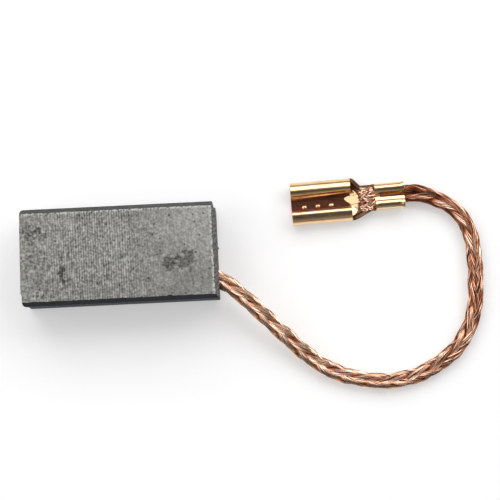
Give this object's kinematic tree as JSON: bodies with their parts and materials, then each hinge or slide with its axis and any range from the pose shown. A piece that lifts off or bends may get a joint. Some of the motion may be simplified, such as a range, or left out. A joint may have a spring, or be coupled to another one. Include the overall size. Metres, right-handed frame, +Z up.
{
  "type": "carbon brush",
  "caption": "Carbon brush for a small motor: chamfered carbon block with a braided copper shunt and a crimped brass push-on terminal.",
  "frame": {"origin": "centre of the carbon block's underside, the broad side that it lies on", "axes": "+X along the block towards the end that the shunt leaves, +Y across its broad side, +Z up through its thickness"},
  "size_m": [0.0458, 0.0211, 0.0063],
  "materials": {
    "carbon": "ground, dry and slightly pitted",
    "tamped_copper": "dull, granular",
    "copper_braid": "bright bare copper wire",
    "brass_sheet": "bright rolled sheet"
  },
  "bodies": {
    "root": {"carbon_block": "carbon", "tamping_plug": "tamped_copper", "shunt": "copper_braid", "terminal": "brass_sheet"}
  },
  "joints": []
}
